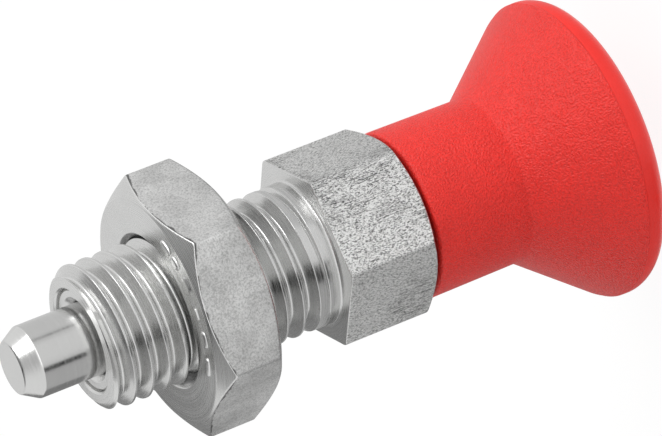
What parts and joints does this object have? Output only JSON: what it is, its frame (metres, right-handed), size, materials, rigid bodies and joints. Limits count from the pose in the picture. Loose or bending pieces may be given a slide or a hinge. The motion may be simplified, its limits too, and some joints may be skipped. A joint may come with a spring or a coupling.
{
  "type": "indexing plunger",
  "caption": "Spring-loaded locking pin in a threaded hexagon sleeve with a lock nut and a flared red pull grip, for locking two parts in set positions.",
  "frame": {"origin": "centre of the grip's flat head, which the plunger stands on; the bottom centre of its bounding box", "axes": "+Z along the axis from the grip's head to the tip of the locking pin; +X through a corner of the sleeve's hexagon"},
  "size_m": [0.025, 0.025, 0.0524],
  "materials": {
    "red_plastic": "fine moulded grain",
    "turned_steel": "satin, etched flats and turned thread",
    "nut_steel": "satin, tumbled flats",
    "bush_steel": "satin, turned",
    "pin_steel": "fine ground",
    "spring_steel": "drawn wire"
  },
  "bodies": {
    "sleeve": {"threaded_sleeve": "turned_steel", "guide_bush": "bush_steel"},
    "nut": {"lock_nut": "nut_steel"},
    "coil": {"spring": "spring_steel"},
    "plunger": {"locking_pin": "pin_steel", "grip": "red_plastic"}
  },
  "joints": [
    {"name": "nut_turn", "type": "hinge", "parent": "sleeve", "child": "nut", "pos_m": [0, 0, 0.03672], "axis": [0, 0, 1], "continuous": true},
    {"name": "grip_turn", "type": "hinge", "parent": "sleeve", "child": "coil", "pos_m": [0, 0, 0.02642], "axis": [0, 0, 1], "continuous": true},
    {"name": "pull", "type": "slide", "parent": "coil", "child": "plunger", "axis": [0, 0, -1], "range_m": [0, 0.006], "stiffness_N_per_m": 1500, "springref_m": -0.0045, "deforming": ["spring"]}
  ]
}
